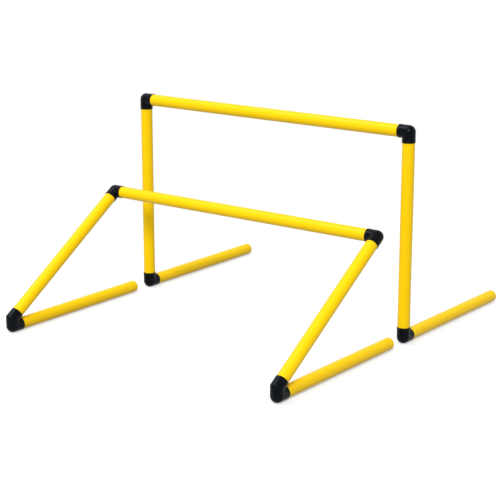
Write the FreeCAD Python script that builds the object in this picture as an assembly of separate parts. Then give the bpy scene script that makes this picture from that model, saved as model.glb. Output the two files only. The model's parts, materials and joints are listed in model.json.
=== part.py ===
"""A set of two training hurdles, one tall and one low, made of plastic tube and push-on connectors.

Millimetres, +Z up. The origin is on the floor, midway between the two uprights of the tall hurdle.
+X runs along the crossbars and +Y runs back along the feet, so the low hurdle stands at -Y.
"""
import FreeCAD, Part
import math
import os

from FreeCAD import Placement, Rotation, Vector

# Tube: every crossbar, upright and foot is cut from the same plastic tube
tube_diameter = 26.7
tube_wall = 2.0

# Connector mouth: a shallow cup round the tube's end and a long spigot inside its bore
cup_clearance = 0.15
cup_wall = 1.0
spigot_clearance = 0.05
spigot_wall = 2.0
spigot_length = 36.0        # from the bottom of the cup to the spigot's tip
spigot_round = 1.0          # rounding of the spigot's tip
rim_round = 0.5             # rounding of the mouth's outer edge
tube_end_gap = 0.1          # between a tube's end and the bottom of its cup

# Square elbow, at every crossbar end and under the tall hurdle
elbow_reach = 22.5          # from the crossing of its axes to each mouth
elbow_cup_depth = 8.0

# Acute connector under the low hurdle: a short upright nose between a foot arm and a leaning arm
acute_cup_depth = 3.0
crotch_web = 0.8            # plastic left between the two cups at their bottoms
foot_arm_length = 23.0      # from the nose's axis to the foot arm's mouth

# Hurdles, measured between tube axes
frame_width = 722.0         # between the two uprights of a hurdle
tall_leg_length = 445.0     # from the foot's axis up to the crossbar's axis
low_leg_length = 440.0      # from the crossing with the foot's axis to the crossbar's axis
low_leg_lean = 33.65        # degrees between the low hurdle's uprights and the floor
hurdle_gap = 56.9           # from the low hurdle's foot ends to the tall uprights
foot_tube_length = 375.4    # all four feet are cut to one length

# Plug that closes the free end of a foot
plug_head_length = 3.0
plug_head_inset = 0.25      # how far the head's radius is below the tube's
plug_head_round = 2.0
plug_stem_length = 14.0
plug_wall = 1.5

# Sizes that follow from the ones above
tube_radius = tube_diameter / 2
bore_radius = tube_radius - tube_wall
cup_radius = tube_radius + cup_clearance
connector_radius = cup_radius + cup_wall
spigot_radius = bore_radius - spigot_clearance
spigot_bore_radius = spigot_radius - spigot_wall
axis_height = connector_radius          # the base connectors rest on the floor
lean = math.radians(low_leg_lean)
acute_reach = (cup_radius + crotch_web / 2) / math.tan(lean / 2) + acute_cup_depth
nose_offset = acute_reach - foot_arm_length
nose_height = nose_offset * math.tan(lean)

# Where a tube's end sits in each kind of mouth, measured like that mouth's reach
elbow_seat = elbow_reach - elbow_cup_depth
acute_seat = acute_reach - acute_cup_depth
foot_arm_seat = foot_arm_length - acute_cup_depth

# From the axis of the elbow or the nose to the end of the foot, and from the tall uprights to the low noses
foot_length = tube_end_gap + foot_tube_length + plug_head_length
tall_foot_reach = elbow_seat + foot_length
low_foot_reach = foot_arm_seat + foot_length
hurdle_spacing = low_foot_reach + hurdle_gap

ORIGIN = Vector(0, 0, 0)
RIGHT = Vector(1, 0, 0)
BACK = Vector(0, 1, 0)
UP = Vector(0, 0, 1)
DOWN = Vector(0, 0, -1)
LEAN_UP = Vector(0, math.cos(lean), math.sin(lean))


def aimed(shape, start, direction):
    """Turn a shape made along +Z to a direction and move its foot to a start point."""
    shape.Placement = Placement(start, Rotation(UP, direction))
    return shape


def rod(radius, start, direction, length):
    """Plain round bar."""
    return aimed(Part.makeCylinder(radius, length), start, direction)


def turned(outline):
    """Solid turned about +Z from a closed outline of curves in the XZ plane."""
    profile = Part.Face(Part.Wire([curve.toShape() for curve in outline]))
    return profile.revolve(ORIGIN, UP, 360)


def rounded_tip(radius, length, tip_round):
    """Outline of a bar's flank, rounded tip and end face, from its foot up to its axis."""
    foot = Vector(radius, 0, 0)
    shoulder = Vector(radius, 0, length - tip_round)
    centre = shoulder - RIGHT * tip_round
    bulge = centre + (RIGHT + UP) * (tip_round * math.sqrt(0.5))
    rim = centre + UP * tip_round
    return [
        Part.LineSegment(foot, shoulder),
        Part.Arc(shoulder, bulge, rim),
        Part.LineSegment(rim, UP * length),
    ]


def rounded_bar(radius, length, tip_round):
    """Bar along +Z with a flat foot and a rounded tip."""
    outline = rounded_tip(radius, length, tip_round)
    outline.append(Part.LineSegment(UP * length, ORIGIN))
    outline.append(Part.LineSegment(ORIGIN, RIGHT * radius))
    return turned(outline)


def ball_backed_arm(radius, length, tip_round):
    """Arm along +Z that starts in a half ball round the bend of a connector."""
    bulge = (RIGHT + DOWN) * (radius * math.sqrt(0.5))
    ball = Part.Arc(DOWN * radius, bulge, RIGHT * radius)
    axis = Part.LineSegment(UP * length, DOWN * radius)
    return turned([ball] + rounded_tip(radius, length, tip_round) + [axis])


def straight_arm(radius, length, tip_round):
    """Arm along +Z that runs straight on behind the bend, to be mitred there."""
    back = Part.LineSegment(DOWN * radius, (RIGHT + DOWN) * radius)
    flank = Part.LineSegment((RIGHT + DOWN) * radius, RIGHT * radius)
    axis = Part.LineSegment(UP * length, DOWN * radius)
    return turned([back, flank] + rounded_tip(radius, length, tip_round) + [axis])


def mitred(shape, corner, toward, away):
    """The part of a shape that lies on one arm's side of the plane that halves a bend."""
    far = shape.BoundBox.DiagonalLength
    block = Part.makeBox(2 * far, 2 * far, far, Vector(-far, -far, 0))
    return shape.common(aimed(block, corner, toward - away))


def elbow_form(radius, stand_out, tip_round):
    """Square bend with a ball for its outer corner and arms along +X and +Z from the origin."""
    halves = []
    for toward, away in ((RIGHT, UP), (UP, RIGHT)):
        half = ball_backed_arm(radius, elbow_reach + stand_out, tip_round)
        halves.append(mitred(aimed(half, ORIGIN, toward), ORIGIN, toward, away))
    return halves[0].fuse(halves[1])


def acute_form(radius, stand_out, tip_round):
    """Foot arm, nose and leaning arm; the axes of the foot and the upright cross at the origin."""
    heel = BACK * nose_offset
    knee = heel + UP * nose_height
    foot_arm = ball_backed_arm(radius, foot_arm_length + stand_out, tip_round)
    foot_arm = mitred(aimed(foot_arm, heel, BACK), heel, BACK, UP)
    nose = ball_backed_arm(radius, nose_height + 2 * radius, tip_round)
    nose = mitred(aimed(nose, heel, UP), heel, UP, BACK)
    nose = mitred(nose, knee, DOWN, LEAN_UP)
    lean_arm = straight_arm(radius, acute_reach + stand_out - nose_offset / math.cos(lean), tip_round)
    lean_arm = mitred(aimed(lean_arm, knee, LEAN_UP), knee, LEAN_UP, DOWN)
    return foot_arm.multiFuse([nose, lean_arm])


def connector(form, mouths):
    """Moulded connector: its outer form, a cup and a spigot at each mouth, and a bore right through."""
    body = form(connector_radius, 0, rim_round)
    for seat, direction in mouths:
        body = body.cut(rod(cup_radius, seat, direction, spigot_length))
    for seat, direction in mouths:
        spigot = rounded_bar(spigot_radius, spigot_wall + spigot_length, spigot_round)
        body = body.fuse(aimed(spigot, seat - direction * spigot_wall, direction))
    bore = form(spigot_bore_radius, spigot_length, spigot_round)
    return body.cut(bore).removeSplitter()


def tube(start, direction, length):
    """Length of tube, open at both ends."""
    outside = rod(tube_radius, start, direction, length)
    return outside.cut(rod(bore_radius, start, direction, length))


def foot_plug(end, direction):
    """Push-in plug: a rounded head flush with the foot's end and a hollow stem up the bore."""
    head_radius = tube_radius - plug_head_inset
    face = end - direction * plug_head_length
    head = aimed(rounded_bar(head_radius, plug_head_length, plug_head_round), face, direction)
    stem = rod(spigot_radius, face, direction * -1, plug_stem_length)
    hollow = rod(spigot_radius - plug_wall, face, direction * -1, plug_stem_length)
    return head.fuse(stem.cut(hollow))


def elbow_at(corner, arm_a, arm_b):
    """Square elbow with its corner at a point and its mouths along two directions at right angles."""
    mouths = [(RIGHT * elbow_seat, RIGHT), (UP * elbow_seat, UP)]
    shape = connector(elbow_form, mouths)
    shape.Placement = Placement(corner, Rotation(arm_a, arm_b.cross(arm_a), arm_b, "XZY"))
    return shape


def acute_at(crossing):
    """Acute connector with the crossing of its tube axes at a point."""
    mouths = [
        (BACK * (nose_offset + foot_arm_seat), BACK),
        (LEAN_UP * acute_seat, LEAN_UP),
    ]
    shape = connector(acute_form, mouths)
    shape.translate(crossing)
    return shape


def crossbar(left_corner):
    """Tube between the two top elbows of a hurdle."""
    seat = elbow_seat + tube_end_gap
    return tube(left_corner + RIGHT * seat, RIGHT, frame_width - 2 * seat)


def upright(base, direction, base_seat, leg_length):
    """Tube from the base connector's cup up to the top elbow's cup."""
    start = base_seat + tube_end_gap
    return tube(base + direction * start, direction, leg_length - start - elbow_seat - tube_end_gap)


def foot_tube(heel, heel_seat):
    """Tube that lies along the floor from the base connector's cup to the plug's head."""
    return tube(heel + BACK * (heel_seat + tube_end_gap), BACK, foot_tube_length)


parts = {}
sides = {"left": -1, "right": 1}
tall_base = UP * axis_height
low_base = tall_base - BACK * (hurdle_spacing + nose_offset)
tall_top = tall_base + UP * tall_leg_length
low_top = low_base + LEAN_UP * low_leg_length

for hurdle, top in (("tall", tall_top), ("low", low_top)):
    parts[f"{hurdle}_crossbar"] = crossbar(top - RIGHT * (frame_width / 2))

for side, sign in sides.items():
    out = RIGHT * (sign * frame_width / 2)
    inward = RIGHT * -sign

    base = tall_base + out
    parts[f"tall_{side}_top_elbow"] = elbow_at(tall_top + out, inward, DOWN)
    parts[f"tall_{side}_upright"] = upright(base, UP, elbow_seat, tall_leg_length)
    parts[f"tall_{side}_base_elbow"] = elbow_at(base, BACK, UP)
    parts[f"tall_{side}_foot_tube"] = foot_tube(base, elbow_seat)
    parts[f"tall_{side}_foot_plug"] = foot_plug(base + BACK * tall_foot_reach, BACK)

    base = low_base + out
    heel = base + BACK * nose_offset
    parts[f"low_{side}_top_elbow"] = elbow_at(low_top + out, inward, LEAN_UP * -1)
    parts[f"low_{side}_upright"] = upright(base, LEAN_UP, acute_seat, low_leg_length)
    parts[f"low_{side}_base_connector"] = acute_at(base)
    parts[f"low_{side}_foot_tube"] = foot_tube(heel, foot_arm_seat)
    parts[f"low_{side}_foot_plug"] = foot_plug(heel + BACK * low_foot_reach, BACK)

os.makedirs("parts", exist_ok=True)
for name, shape in parts.items():
    shape.exportStep(f"parts/{name}.step")
    box = shape.BoundBox
    print(
        f"{name}: {len(shape.Solids)} solid, valid {shape.isValid()}, {shape.Volume:.0f} mm3,"
        f" y {box.YMin:.1f} to {box.YMax:.1f}, z {box.ZMin:.1f} to {box.ZMax:.1f}"
    )
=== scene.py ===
import bmesh
import bpy
import json
import math
from mathutils import Matrix, Vector


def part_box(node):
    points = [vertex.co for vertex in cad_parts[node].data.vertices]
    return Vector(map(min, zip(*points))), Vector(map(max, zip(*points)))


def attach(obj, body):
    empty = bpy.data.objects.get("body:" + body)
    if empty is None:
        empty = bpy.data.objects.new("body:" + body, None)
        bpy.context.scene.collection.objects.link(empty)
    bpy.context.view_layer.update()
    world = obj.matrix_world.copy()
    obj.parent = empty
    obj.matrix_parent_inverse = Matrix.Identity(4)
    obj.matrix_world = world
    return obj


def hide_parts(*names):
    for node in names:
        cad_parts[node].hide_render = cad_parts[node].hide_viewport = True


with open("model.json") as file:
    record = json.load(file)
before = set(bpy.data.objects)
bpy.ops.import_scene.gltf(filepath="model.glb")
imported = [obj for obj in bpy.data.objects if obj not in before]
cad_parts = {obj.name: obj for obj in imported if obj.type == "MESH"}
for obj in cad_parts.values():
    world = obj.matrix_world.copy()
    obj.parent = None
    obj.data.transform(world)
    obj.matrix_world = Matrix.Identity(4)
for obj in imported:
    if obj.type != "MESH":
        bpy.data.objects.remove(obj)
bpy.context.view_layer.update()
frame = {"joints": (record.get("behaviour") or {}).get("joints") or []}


# Tubes: crossbars, uprights and feet are lengths of one extruded yellow plastic tube, cut square,
# deburred and pushed into the black connectors. The die leaves faint lines along each length, and
# handling leaves fine scuffs that show mostly in the gloss.
joints = {joint["name"]: joint for joint in frame["joints"]}
lean_up = Vector(joints["low_left_foot_turn"]["axis"])
right, back, up = Vector((1, 0, 0)), Vector((0, 1, 0)), Vector((0, 0, 1))
bar_low, bar_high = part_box("tall_crossbar")
tube_radius = (bar_high.z - bar_low.z) / 2
tube_wall = 0.002
tube_deburr = 0.0004
tube_sides = 96
tube_smoothing = math.radians(15)
cut_spacing = 7
yellow = (0.905, 0.58, 0.001, 1)
yellow_deep = (0.865, 0.52, 0.001, 1)
yellow_scuff = (0.905, 0.645, 0.05, 1)
yellow_shine = 0.12

tube_finish = bpy.data.materials.new("yellow_tube_finish")
tube_finish.use_nodes = True
tree = tube_finish.node_tree
surface = tree.nodes["Principled BSDF"]
surface.inputs["Specular IOR Level"].default_value = yellow_shine

along_tube = tree.nodes.new("ShaderNodeAttribute")
along_tube.attribute_name = "along_tube"
drawn_out = tree.nodes.new("ShaderNodeMapping")
drawn_out.inputs["Scale"].default_value = (1, 1, 0.01)
tree.links.new(along_tube.outputs["Vector"], drawn_out.inputs["Vector"])
die_lines = tree.nodes.new("ShaderNodeTexNoise")
die_lines.inputs["Scale"].default_value = 650
die_lines.inputs["Detail"].default_value = 5
tree.links.new(drawn_out.outputs["Vector"], die_lines.inputs["Vector"])

place = tree.nodes.new("ShaderNodeTexCoord")
clouding = tree.nodes.new("ShaderNodeTexNoise")
clouding.inputs["Scale"].default_value = 16
clouding.inputs["Detail"].default_value = 4
tree.links.new(place.outputs["Object"], clouding.inputs["Vector"])

slanted = tree.nodes.new("ShaderNodeMapping")
slanted.inputs["Rotation"].default_value = (0.9, 0.3, 0.0)
slanted.inputs["Scale"].default_value = (1, 1, 0.05)
tree.links.new(along_tube.outputs["Vector"], slanted.inputs["Vector"])
scratches = tree.nodes.new("ShaderNodeTexNoise")
scratches.inputs["Scale"].default_value = 1400
scratches.inputs["Detail"].default_value = 3
tree.links.new(slanted.outputs["Vector"], scratches.inputs["Vector"])
scratch_lines = tree.nodes.new("ShaderNodeMapRange")
scratch_lines.inputs["From Min"].default_value = 0.60
scratch_lines.inputs["From Max"].default_value = 0.74
tree.links.new(scratches.outputs["Fac"], scratch_lines.inputs["Value"])
rubbed_spots = tree.nodes.new("ShaderNodeTexNoise")
rubbed_spots.inputs["Scale"].default_value = 22
rubbed_spots.inputs["Detail"].default_value = 3
tree.links.new(along_tube.outputs["Vector"], rubbed_spots.inputs["Vector"])
rubbed = tree.nodes.new("ShaderNodeMapRange")
rubbed.inputs["From Min"].default_value = 0.50
rubbed.inputs["From Max"].default_value = 0.72
tree.links.new(rubbed_spots.outputs["Fac"], rubbed.inputs["Value"])
scuffs = tree.nodes.new("ShaderNodeMath")
scuffs.operation = "MULTIPLY"
tree.links.new(scratch_lines.outputs["Result"], scuffs.inputs[0])
tree.links.new(rubbed.outputs["Result"], scuffs.inputs[1])

shade = tree.nodes.new("ShaderNodeMix")
shade.data_type = "RGBA"
shade.inputs["A"].default_value = yellow
shade.inputs["B"].default_value = yellow_deep
streak_and_cloud = tree.nodes.new("ShaderNodeMath")
streak_and_cloud.operation = "MULTIPLY"
tree.links.new(die_lines.outputs["Fac"], streak_and_cloud.inputs[0])
tree.links.new(clouding.outputs["Fac"], streak_and_cloud.inputs[1])
tree.links.new(streak_and_cloud.outputs["Value"], shade.inputs["Factor"])
scuff_paleness = tree.nodes.new("ShaderNodeMath")
scuff_paleness.operation = "MULTIPLY"
scuff_paleness.inputs[1].default_value = 0.4
tree.links.new(scuffs.outputs["Value"], scuff_paleness.inputs[0])
scuffed = tree.nodes.new("ShaderNodeMix")
scuffed.data_type = "RGBA"
scuffed.inputs["B"].default_value = yellow_scuff
tree.links.new(shade.outputs["Result"], scuffed.inputs["A"])
tree.links.new(scuff_paleness.outputs["Value"], scuffed.inputs["Factor"])
tree.links.new(scuffed.outputs["Result"], surface.inputs["Base Color"])

gloss = tree.nodes.new("ShaderNodeMapRange")
gloss.inputs["To Min"].default_value = 0.30
gloss.inputs["To Max"].default_value = 0.38
tree.links.new(die_lines.outputs["Fac"], gloss.inputs["Value"])
scuff_dullness = tree.nodes.new("ShaderNodeMath")
scuff_dullness.operation = "MULTIPLY_ADD"
scuff_dullness.inputs[1].default_value = 0.18
tree.links.new(scuffs.outputs["Value"], scuff_dullness.inputs[0])
tree.links.new(gloss.outputs["Result"], scuff_dullness.inputs[2])
tree.links.new(scuff_dullness.outputs["Value"], surface.inputs["Roughness"])

relief = tree.nodes.new("ShaderNodeBump")
relief.inputs["Strength"].default_value = 0.12
relief.inputs["Distance"].default_value = 0.0002
tree.links.new(die_lines.outputs["Fac"], relief.inputs["Height"])
tree.links.new(relief.outputs["Normal"], surface.inputs["Normal"])


def yellow_tube(node, body, direction):
    """One length of tube along a direction, as long as its node's box allows."""
    low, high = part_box(node)
    along = max(range(3), key=lambda axis: abs(direction[axis]))
    slope = abs(direction[along])
    slanted_ends = 2 * tube_radius * math.sqrt(1 - slope * slope)
    length = (high[along] - low[along] - slanted_ends) / slope

    bpy.ops.object.select_all(action="DESELECT")
    bpy.ops.mesh.primitive_cylinder_add(
        vertices=tube_sides, radius=tube_radius, depth=length, end_fill_type="NOTHING"
    )
    piece = bpy.context.object
    piece.name = node + "_piece"
    wall = piece.modifiers.new("wall", "SOLIDIFY")
    wall.thickness = tube_wall
    wall.offset = -1
    wall.use_even_offset = True
    bpy.ops.object.modifier_apply(modifier="wall")
    deburr = piece.modifiers.new("deburr", "BEVEL")
    deburr.width = tube_deburr
    deburr.segments = 2
    deburr.angle_limit = math.radians(60)
    bpy.ops.object.modifier_apply(modifier="deburr")
    bpy.ops.object.shade_smooth_by_angle(angle=tube_smoothing)

    # The lengths of one side come from different places along the extrusion, so their streaks differ.
    grain = piece.data.attributes.new("along_tube", "FLOAT_VECTOR", "POINT")
    cut_from = Vector((0, 0, cut_spacing * (low + high).length))
    for vertex, drawn in zip(piece.data.vertices, grain.data):
        drawn.vector = vertex.co + cut_from

    turn = up.rotation_difference(direction).to_matrix().to_4x4()
    piece.matrix_world = Matrix.Translation((low + high) / 2) @ turn
    bpy.ops.object.transform_apply(location=True, rotation=True, scale=True)
    piece.data.materials.append(tube_finish)
    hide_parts(node)
    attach(piece, body)


for hurdle, upright_direction in (("tall", up), ("low", lean_up)):
    yellow_tube(hurdle + "_crossbar", hurdle + "_bar", right)
    for side in ("left", "right"):
        yellow_tube(f"{hurdle}_{side}_upright", f"{hurdle}_{side}_leg", upright_direction)
        yellow_tube(f"{hurdle}_{side}_foot_tube", f"{hurdle}_{side}_foot", back)


# Square elbows: satin black mouldings at both ends of each crossbar and under the tall hurdle. The
# outer corner is a ball, a low collar stiffens each mouth, and the tube's end sits in a cup round a
# long spigot. The fine grain is the mould's, whose parting line runs round the plane of the arms.
elbow_low, elbow_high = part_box("tall_left_base_elbow")
collar_radius = (elbow_high.x - elbow_low.x) / 2
collar_height = 0.0002
collar_length = 0.005
collar_slope = 0.0004
body_radius = collar_radius - collar_height
cup_clearance = 0.00015
cup_radius = tube_radius + cup_clearance
elbow_reach = 0.0225
elbow_cup_depth = 0.008
spigot_clearance = 0.00005
spigot_radius = tube_radius - tube_wall - spigot_clearance
spigot_wall = 0.002
spigot_length = 0.036
spigot_round = 0.001
rim_round = 0.0005
mouth_chamfer = 0.0002
valley_round = 0.0012
valley_angle = 0.35
connector_sides = 96
connector_smoothing = math.radians(35)
same_point = 1e-6
same_ring = 2e-6
same_seam = 1e-5
same_cut = 1e-7
black = (0.0006, 0.0007, 0.0010, 1)
black_bloom = (0.0012, 0.0014, 0.0020, 1)
black_shine = 0.10
# Painted reflection colour: this tint turns every highlight and reflection on the black blue-grey in
# the material itself, in place of a cool light.
black_shine_painted_cool_tint = (0.74, 0.87, 1.0, 1)
parting_line_half_width = 0.00035
parting_line_height = 1.5

connector_finish = bpy.data.materials.new("black_connector_finish")
connector_finish.use_nodes = True
tree = connector_finish.node_tree
surface = tree.nodes["Principled BSDF"]
surface.inputs["Specular IOR Level"].default_value = black_shine
# The specular tint paints a cool blue-grey into the black's highlights and reflections.
surface.inputs["Specular Tint"].default_value = black_shine_painted_cool_tint
place = tree.nodes.new("ShaderNodeTexCoord")

bloom = tree.nodes.new("ShaderNodeTexNoise")
bloom.inputs["Scale"].default_value = 85
bloom.inputs["Detail"].default_value = 5
tree.links.new(place.outputs["Object"], bloom.inputs["Vector"])
tint = tree.nodes.new("ShaderNodeMix")
tint.data_type = "RGBA"
tint.inputs["A"].default_value = black
tint.inputs["B"].default_value = black_bloom
tree.links.new(bloom.outputs["Fac"], tint.inputs["Factor"])
tree.links.new(tint.outputs["Result"], surface.inputs["Base Color"])
satin = tree.nodes.new("ShaderNodeMapRange")
satin.inputs["From Min"].default_value = 0.3
satin.inputs["From Max"].default_value = 0.7
satin.inputs["To Min"].default_value = 0.22
satin.inputs["To Max"].default_value = 0.29
tree.links.new(bloom.outputs["Fac"], satin.inputs["Value"])
tree.links.new(satin.outputs["Result"], surface.inputs["Roughness"])

mould_grain = tree.nodes.new("ShaderNodeTexNoise")
mould_grain.inputs["Scale"].default_value = 2200
mould_grain.inputs["Detail"].default_value = 2
tree.links.new(place.outputs["Object"], mould_grain.inputs["Vector"])
in_mould = tree.nodes.new("ShaderNodeAttribute")
in_mould.attribute_name = "in_mould"
across = tree.nodes.new("ShaderNodeSeparateXYZ")
tree.links.new(in_mould.outputs["Vector"], across.inputs["Vector"])
off_line = tree.nodes.new("ShaderNodeMath")
off_line.operation = "ABSOLUTE"
tree.links.new(across.outputs["Y"], off_line.inputs[0])
parting_line = tree.nodes.new("ShaderNodeMapRange")
parting_line.interpolation_type = "SMOOTHSTEP"
parting_line.inputs["From Min"].default_value = 0.0
parting_line.inputs["From Max"].default_value = parting_line_half_width
parting_line.inputs["To Min"].default_value = parting_line_height
parting_line.inputs["To Max"].default_value = 0.0
tree.links.new(off_line.outputs["Value"], parting_line.inputs["Value"])
moulded = tree.nodes.new("ShaderNodeMath")
moulded.operation = "ADD"
tree.links.new(mould_grain.outputs["Fac"], moulded.inputs[0])
tree.links.new(parting_line.outputs["Result"], moulded.inputs[1])
relief = tree.nodes.new("ShaderNodeBump")
relief.inputs["Strength"].default_value = 0.35
relief.inputs["Distance"].default_value = 0.00008
tree.links.new(moulded.outputs["Value"], relief.inputs["Height"])
tree.links.new(relief.outputs["Normal"], surface.inputs["Normal"])


def select_rings(piece, rings):
    """Select the edges of round rings about Z, each given by its height and radius."""
    bpy.ops.mesh.select_all(action="DESELECT")
    mesh = bmesh.from_edit_mesh(piece.data)
    for edge in mesh.edges:
        for height, radius in rings:
            if all(
                abs(v.co.z - height) < same_ring and abs(v.co.xy.length - radius) < same_ring
                for v in edge.verts
            ):
                edge.select_set(True)
    bmesh.update_edit_mesh(piece.data)


def drawn_arm(piece, length, cup_depth, collar):
    """Draw the open ring at height 0 up to a collared mouth with a cup and a hollow spigot."""
    bore_radius = spigot_radius - spigot_wall
    collar_start = length - collar
    bpy.ops.mesh.select_mode(type="EDGE")
    select_rings(piece, [(0, body_radius)])
    for rise, grow in (
        (collar_start, 1),
        (collar_slope, collar_radius / body_radius),
        (collar - collar_slope, 1),
        (0, cup_radius / collar_radius),
        (-cup_depth, 1),
        (0, spigot_radius / cup_radius),
        (spigot_length, 1),
        (0, bore_radius / spigot_radius),
        (-spigot_length, 1),
    ):
        bpy.ops.mesh.extrude_region_move(TRANSFORM_OT_translate={"value": (0, 0, rise)})
        bpy.ops.transform.resize(value=(grow, grow, 1), center_override=(0, 0, 0))
    bpy.ops.mesh.edge_face_add()
    select_rings(piece, [(collar_start, body_radius), (collar_start + collar_slope, collar_radius)])
    bpy.ops.mesh.mark_sharp()
    select_rings(piece, [(length, collar_radius)])
    bpy.ops.mesh.bevel(offset=rim_round, segments=4)
    select_rings(piece, [(length, cup_radius)])
    bpy.ops.mesh.bevel(offset=mouth_chamfer, segments=2)
    select_rings(piece, [(length - cup_depth + spigot_length, spigot_radius)])
    bpy.ops.mesh.bevel(offset=spigot_round, segments=3)


def ball_end():
    """Half a ball below height 0, open at its upper ring."""
    bpy.ops.object.select_all(action="DESELECT")
    bpy.ops.mesh.primitive_uv_sphere_add(
        segments=connector_sides, ring_count=connector_sides // 2, radius=body_radius
    )
    piece = bpy.context.object
    bpy.ops.object.mode_set(mode="EDIT")
    bpy.ops.mesh.select_all(action="DESELECT")
    mesh = bmesh.from_edit_mesh(piece.data)
    for vertex in mesh.verts:
        vertex.select_set(vertex.co.z > same_point)
    bmesh.update_edit_mesh(piece.data)
    bpy.ops.mesh.delete(type="VERT")
    return piece


def cut_back(piece, corner, keep):
    """Bisect a piece through a corner and keep the side that a direction points to."""
    bpy.ops.mesh.select_all(action="SELECT")
    bpy.ops.mesh.bisect(
        plane_co=corner, plane_no=keep.normalized(), clear_inner=True, threshold=same_cut
    )


def finish_moulding(piece, mould_axes):
    """Smooth a connector, note its points' places in the mould and give it its finish."""
    bpy.ops.object.shade_smooth_by_angle(angle=connector_smoothing)
    mould_place = piece.data.attributes.new("in_mould", "FLOAT_VECTOR", "POINT")
    for vertex, moulded_at in zip(piece.data.vertices, mould_place.data):
        moulded_at.vector = getattr(vertex.co, mould_axes)
    piece.data.materials.append(connector_finish)


elbow = ball_end()
drawn_arm(elbow, elbow_reach, elbow_cup_depth, collar_length)
bpy.ops.object.mode_set(mode="OBJECT")
elbow.rotation_euler = (0, math.radians(45), 0)
bpy.ops.object.transform_apply(location=False, rotation=True, scale=False)
bpy.ops.object.mode_set(mode="EDIT")
cut_back(elbow, (0, 0, 0), right)
bpy.ops.object.mode_set(mode="OBJECT")
other_arm = elbow.modifiers.new("other_arm", "MIRROR")
other_arm.merge_threshold = same_seam
bpy.ops.object.modifier_apply(modifier="other_arm")
bpy.ops.object.mode_set(mode="EDIT")
bpy.ops.mesh.select_all(action="SELECT")
bpy.ops.mesh.remove_doubles(threshold=same_point)
bpy.ops.mesh.normals_make_consistent(inside=False)
bpy.ops.mesh.select_all(action="DESELECT")
mesh = bmesh.from_edit_mesh(elbow.data)
for edge in mesh.edges:
    in_valley = all(abs(v.co.x) < same_point and v.co.z > 0 for v in edge.verts)
    edge.select_set(in_valley and edge.calc_face_angle(0) > valley_angle)
bmesh.update_edit_mesh(elbow.data)
bpy.ops.mesh.bevel(offset=valley_round, segments=3)
bpy.ops.object.mode_set(mode="OBJECT")
finish_moulding(elbow, "xyz")


def square_elbow(node, body, corner, arm_a, arm_b):
    """Copy the elbow to a corner, with its mouths along two directions."""
    piece = bpy.data.objects.new(node + "_piece", elbow.data.copy())
    bpy.context.collection.objects.link(piece)
    along = (arm_a - arm_b).normalized()
    between = (arm_a + arm_b).normalized()
    turn = Matrix((along, between.cross(along), between)).transposed()
    piece.data.transform(Matrix.Translation(corner) @ turn.to_4x4())
    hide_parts(node)
    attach(piece, body)


for hurdle, upright_direction in (("tall", up), ("low", lean_up)):
    for side, inward in (("left", right), ("right", -right)):
        node, body = f"{hurdle}_{side}_top_elbow", f"{hurdle}_{side}_leg"
        corner = Vector(joints[f"{hurdle}_{side}_leg_swing"]["pos_m"])
        square_elbow(node, body, corner, inward, -upright_direction)
for side in ("left", "right"):
    corner = Vector(joints[f"tall_{side}_foot_turn"]["pos_m"])
    square_elbow(f"tall_{side}_base_elbow", f"tall_{side}_foot", corner, back, up)
bpy.data.objects.remove(elbow)


# Acute base connectors: the same black moulding under the low hurdle's leaning uprights. A short
# upright nose joins the foot arm, with a ball at its heel, to the leaning arm, with a crease where
# they meet. The mouths lie close together, so their cups are shallow and their collars thin beads.
connector_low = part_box("low_left_base_connector")[0]
crossing = Vector(joints["low_left_foot_turn"]["pos_m"])
foot_arm_length = 0.023
acute_cup_depth = 0.003
rim_bead = 0.0009
crease_round = 0.0012
crease_angle = 0.2
heel = Vector((0, connector_low.y - crossing.y + collar_radius, 0))
knee = heel + up * (heel.y * lean_up.z / lean_up.y)
foot_mouth = heel.y + foot_arm_length
lean_arm_length = foot_mouth - knee.length


def set_arm(piece, start, direction):
    """Turn an arm that was drawn along Z about X and move its foot to a start point."""
    bpy.ops.object.mode_set(mode="OBJECT")
    tilt = math.atan2(-direction.y, direction.z)
    piece.rotation_euler = (tilt, 0, 0)
    piece.location = start
    bpy.ops.object.transform_apply(location=True, rotation=True, scale=False)
    bpy.ops.object.mode_set(mode="EDIT")


foot_arm = ball_end()
drawn_arm(foot_arm, foot_arm_length, acute_cup_depth, rim_bead)
set_arm(foot_arm, heel, back)
cut_back(foot_arm, heel, back - up)
cut_back(foot_arm, (0, 0, 0), back - lean_up)
bpy.ops.object.mode_set(mode="OBJECT")

nose = ball_end()
nose_stock = knee.z + 2 * body_radius
bpy.ops.mesh.select_mode(type="EDGE")
select_rings(nose, [(0, body_radius)])
bpy.ops.mesh.extrude_region_move(TRANSFORM_OT_translate={"value": (0, 0, nose_stock)})
set_arm(nose, heel, up)
cut_back(nose, heel, up - back)
cut_back(nose, knee, -up - lean_up)
bpy.ops.object.mode_set(mode="OBJECT")

bpy.ops.object.select_all(action="DESELECT")
bpy.ops.mesh.primitive_cylinder_add(
    vertices=connector_sides, radius=body_radius, depth=body_radius, end_fill_type="NOTHING",
    location=(0, 0, -body_radius / 2),
)
lean_arm = bpy.context.object
bpy.ops.object.transform_apply(location=True, rotation=False, scale=False)
bpy.ops.object.mode_set(mode="EDIT")
drawn_arm(lean_arm, lean_arm_length, acute_cup_depth, rim_bead)
set_arm(lean_arm, knee, lean_up)
cut_back(lean_arm, knee, lean_up + up)
cut_back(lean_arm, (0, 0, 0), lean_up - back)
bpy.ops.object.mode_set(mode="OBJECT")

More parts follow.
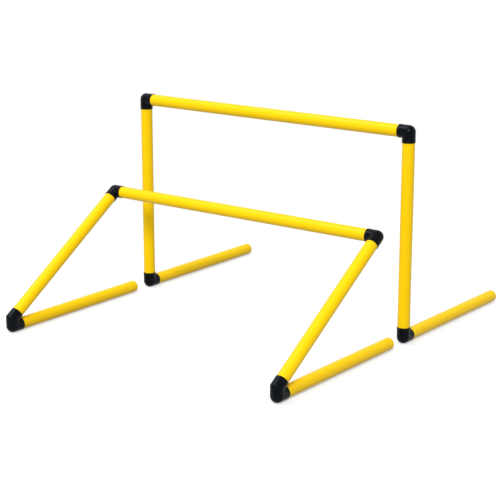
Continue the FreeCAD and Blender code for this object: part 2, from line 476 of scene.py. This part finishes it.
bpy.ops.object.select_all(action="DESELECT")
for arm in (foot_arm, nose, lean_arm):
    arm.select_set(True)
bpy.context.view_layer.objects.active = foot_arm
bpy.ops.object.join()
bpy.ops.object.mode_set(mode="EDIT")
bpy.ops.mesh.select_all(action="SELECT")
bpy.ops.mesh.remove_doubles(threshold=same_seam)
bpy.ops.mesh.normals_make_consistent(inside=False)
bpy.ops.mesh.select_all(action="DESELECT")
mesh = bmesh.from_edit_mesh(foot_arm.data)
halving = (lean_up + up).normalized()
for edge in mesh.edges:
    on_crease = all(
        abs((v.co - knee).dot(halving)) < same_ring and v.co.y < knee.y for v in edge.verts
    )
    edge.select_set(on_crease and edge.calc_face_angle(0) > crease_angle)
bmesh.update_edit_mesh(foot_arm.data)
bpy.ops.mesh.bevel(offset=crease_round, segments=3)
bpy.ops.object.mode_set(mode="OBJECT")
finish_moulding(foot_arm, "yxz")

for side in ("left", "right"):
    node = f"low_{side}_base_connector"
    piece = bpy.data.objects.new(node + "_piece", foot_arm.data.copy())
    bpy.context.collection.objects.link(piece)
    piece.data.transform(Matrix.Translation(joints[f"low_{side}_foot_turn"]["pos_m"]))
    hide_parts(node)
    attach(piece, f"low_{side}_foot")
bpy.data.objects.remove(foot_arm)


# Foot plugs: moulded yellow plugs that close the free ends of the feet. The rounded head sits flush
# against the tube, with a shallow dish and the mould's gate mark in its middle, and the hollow stem
# grips the bore.
plug_round = 0.002
plug_head_length = 0.003
plug_wall = 0.0015
plug_smoothing = math.radians(30)
dish_radius = 0.0075
dish_depth = 0.0004
gate_radius = 0.0012
stem_radius = tube_radius - tube_wall - spigot_clearance
plug_yellow = (0.885, 0.545, 0.001, 1)
plug_yellow_pale = (0.895, 0.585, 0.006, 1)

plug_finish = bpy.data.materials.new("yellow_plug_finish")
plug_finish.use_nodes = True
tree = plug_finish.node_tree
surface = tree.nodes["Principled BSDF"]
surface.inputs["Specular IOR Level"].default_value = yellow_shine
place = tree.nodes.new("ShaderNodeTexCoord")
clouding = tree.nodes.new("ShaderNodeTexNoise")
clouding.inputs["Scale"].default_value = 140
clouding.inputs["Detail"].default_value = 4
tree.links.new(place.outputs["Object"], clouding.inputs["Vector"])
shade = tree.nodes.new("ShaderNodeMix")
shade.data_type = "RGBA"
shade.inputs["A"].default_value = plug_yellow
shade.inputs["B"].default_value = plug_yellow_pale
tree.links.new(clouding.outputs["Fac"], shade.inputs["Factor"])
tree.links.new(shade.outputs["Result"], surface.inputs["Base Color"])
gloss = tree.nodes.new("ShaderNodeMapRange")
gloss.inputs["To Min"].default_value = 0.36
gloss.inputs["To Max"].default_value = 0.50
tree.links.new(clouding.outputs["Fac"], gloss.inputs["Value"])
tree.links.new(gloss.outputs["Result"], surface.inputs["Roughness"])
mould_grain = tree.nodes.new("ShaderNodeTexNoise")
mould_grain.inputs["Scale"].default_value = 1800
tree.links.new(place.outputs["Object"], mould_grain.inputs["Vector"])
relief = tree.nodes.new("ShaderNodeBump")
relief.inputs["Strength"].default_value = 0.2
relief.inputs["Distance"].default_value = 0.00008
tree.links.new(mould_grain.outputs["Fac"], relief.inputs["Height"])
tree.links.new(relief.outputs["Normal"], surface.inputs["Normal"])


def select_faces_at(piece, height):
    """Select the flat faces across Z at one height."""
    bpy.ops.mesh.select_mode(type="FACE")
    mesh = bmesh.from_edit_mesh(piece.data)
    for face in mesh.faces:
        face.select_set(all(abs(v.co.z - height) < same_point for v in face.verts))
    bmesh.update_edit_mesh(piece.data)


for hurdle in ("tall", "low"):
    for side in ("left", "right"):
        node = f"{hurdle}_{side}_foot_plug"
        low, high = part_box(node)
        head_radius = (high.x - low.x) / 2
        stem_length = high.y - low.y - plug_head_length
        bpy.ops.object.select_all(action="DESELECT")
        bpy.ops.mesh.primitive_cylinder_add(
            vertices=tube_sides, radius=head_radius, depth=plug_head_length,
            location=(0, 0, -plug_head_length / 2),
        )
        piece = bpy.context.object
        piece.name = node + "_piece"
        bpy.ops.object.transform_apply(location=True, rotation=False, scale=False)
        bpy.ops.object.mode_set(mode="EDIT")
        bpy.ops.mesh.select_mode(type="EDGE")
        select_rings(piece, [(0, head_radius)])
        bpy.ops.mesh.bevel(offset=plug_round, segments=6)
        select_faces_at(piece, 0)
        bpy.ops.mesh.inset(thickness=head_radius - plug_round - dish_radius)
        bpy.ops.mesh.inset(thickness=dish_depth, depth=-dish_depth)
        bpy.ops.mesh.inset(thickness=dish_radius - dish_depth - gate_radius)
        bpy.ops.mesh.inset(thickness=gate_radius / 4, depth=dish_depth / 2)
        select_faces_at(piece, -plug_head_length)
        bpy.ops.mesh.inset(thickness=head_radius - stem_radius)
        bpy.ops.mesh.extrude_region_move(TRANSFORM_OT_translate={"value": (0, 0, -stem_length)})
        bpy.ops.mesh.inset(thickness=plug_wall)
        bpy.ops.mesh.extrude_region_move(TRANSFORM_OT_translate={"value": (0, 0, stem_length)})
        bpy.ops.object.mode_set(mode="OBJECT")
        bpy.ops.object.shade_smooth_by_angle(angle=plug_smoothing)
        piece.rotation_euler = (math.radians(-90), 0, 0)
        piece.location = ((low.x + high.x) / 2, high.y, (low.z + high.z) / 2)
        bpy.ops.object.transform_apply(location=True, rotation=True, scale=False)
        piece.data.materials.append(plug_finish)
        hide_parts(node)
        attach(piece, f"{hurdle}_{side}_foot")


# Studio: a pale paper floor that the camera and the gloss see as white, with a faint soft shadow
# left on it. A large softbox stands in front on the right, and a small, cooler one hangs at the
# upper left.
white_level = (1, 1, 1, 1)
floor_size = 60
floor_colour = (0.38, 0.38, 0.38, 1)
shadow_share = 0.5
shadow_reach = 0.6
surround_colour = (0.96, 0.98, 1.0, 1)
surround_strength = 0.6
softbox_aim = Vector((0, -0.1, 0.2))
camera_lens = 105.34
camera_reach = 200
camera_place = (1.9181, -2.5735, 0.9900)
camera_dip = 0.2562
camera_turn = 0.6537


def seen_as_white(tree):
    """1 for what the camera, the gloss and clear pieces see, 0 for what lights the object."""
    rays = tree.nodes.new("ShaderNodeLightPath")
    seen = tree.nodes.new("ShaderNodeMath")
    seen.operation = "MAXIMUM"
    tree.links.new(rays.outputs["Is Camera Ray"], seen.inputs[0])
    tree.links.new(rays.outputs["Is Glossy Ray"], seen.inputs[1])
    seen_or_through = tree.nodes.new("ShaderNodeMath")
    seen_or_through.operation = "MAXIMUM"
    tree.links.new(seen.outputs["Value"], seen_or_through.inputs[0])
    tree.links.new(rays.outputs["Is Transmission Ray"], seen_or_through.inputs[1])
    return seen_or_through.outputs["Value"]


bpy.ops.object.select_all(action="DESELECT")
bpy.ops.mesh.primitive_plane_add(size=floor_size)
floor = bpy.context.object
floor.name = "studio_floor"
floor_finish = bpy.data.materials.new("studio_paper")
floor_finish.use_nodes = True
tree = floor_finish.node_tree
tree.nodes.remove(tree.nodes["Principled BSDF"])
paper = tree.nodes.new("ShaderNodeBsdfDiffuse")
paper.inputs["Color"].default_value = floor_colour
white_paper = tree.nodes.new("ShaderNodeBsdfDiffuse")
white_paper.inputs["Color"].default_value = white_level
white = tree.nodes.new("ShaderNodeEmission")
white.inputs["Color"].default_value = white_level
white.inputs["Strength"].default_value = 1
place = tree.nodes.new("ShaderNodeTexCoord")
off_centre = tree.nodes.new("ShaderNodeVectorMath")
off_centre.operation = "LENGTH"
tree.links.new(place.outputs["Object"], off_centre.inputs[0])
shadow_fade = tree.nodes.new("ShaderNodeMapRange")
shadow_fade.interpolation_type = "SMOOTHSTEP"
shadow_fade.inputs["From Min"].default_value = shadow_reach
shadow_fade.inputs["From Max"].default_value = 2 * shadow_reach
shadow_fade.inputs["To Min"].default_value = shadow_share
shadow_fade.inputs["To Max"].default_value = 0
tree.links.new(off_centre.outputs["Value"], shadow_fade.inputs["Value"])
shown = tree.nodes.new("ShaderNodeMixShader")
tree.links.new(shadow_fade.outputs["Result"], shown.inputs["Fac"])
tree.links.new(white.outputs["Emission"], shown.inputs[1])
tree.links.new(white_paper.outputs["BSDF"], shown.inputs[2])
chosen = tree.nodes.new("ShaderNodeMixShader")
tree.links.new(seen_as_white(tree), chosen.inputs["Fac"])
tree.links.new(paper.outputs["BSDF"], chosen.inputs[1])
tree.links.new(shown.outputs["Shader"], chosen.inputs[2])
tree.links.new(chosen.outputs["Shader"], tree.nodes["Material Output"].inputs["Surface"])
floor.data.materials.append(floor_finish)

world = bpy.data.worlds.new("studio_surround")
bpy.context.scene.world = world
world.use_nodes = True
tree = world.node_tree
surround = tree.nodes["Background"]
surround.inputs["Color"].default_value = surround_colour
surround.inputs["Strength"].default_value = surround_strength
white_surround = tree.nodes.new("ShaderNodeBackground")
white_surround.inputs["Color"].default_value = white_level
white_surround.inputs["Strength"].default_value = 1
chosen = tree.nodes.new("ShaderNodeMixShader")
tree.links.new(seen_as_white(tree), chosen.inputs["Fac"])
tree.links.new(surround.outputs["Background"], chosen.inputs[1])
tree.links.new(white_surround.outputs["Background"], chosen.inputs[2])
tree.links.new(chosen.outputs["Shader"], tree.nodes["World Output"].inputs["Surface"])

for name, stand, width, watts, colour in (
    ("front_softbox", Vector((4.9, -10.3, 9.2)), 4.6, 1620, (0.98, 1.0, 1.0)),
    ("upper_left_softbox", Vector((-2.2, -1.4, 5.0)), 1.9, 100, (0.82, 0.91, 1.0)),
):
    lamp = bpy.data.lights.new(name, "AREA")
    lamp.shape = "SQUARE"
    lamp.size = width
    lamp.energy = watts
    lamp.color = colour
    softbox = bpy.data.objects.new(name, lamp)
    bpy.context.collection.objects.link(softbox)
    softbox.location = stand
    softbox.rotation_euler = (softbox_aim - stand).to_track_quat("-Z", "Y").to_euler()

camera_data = bpy.data.cameras.new("photo_camera")
camera_data.lens = camera_lens
camera_data.clip_end = camera_reach
camera = bpy.data.objects.new("photo_camera", camera_data)
bpy.context.collection.objects.link(camera)
camera.location = camera_place
camera.rotation_euler = (math.pi / 2 - camera_dip, 0, camera_turn)
bpy.context.scene.camera = camera
bpy.context.scene.view_settings.view_transform = "Standard"
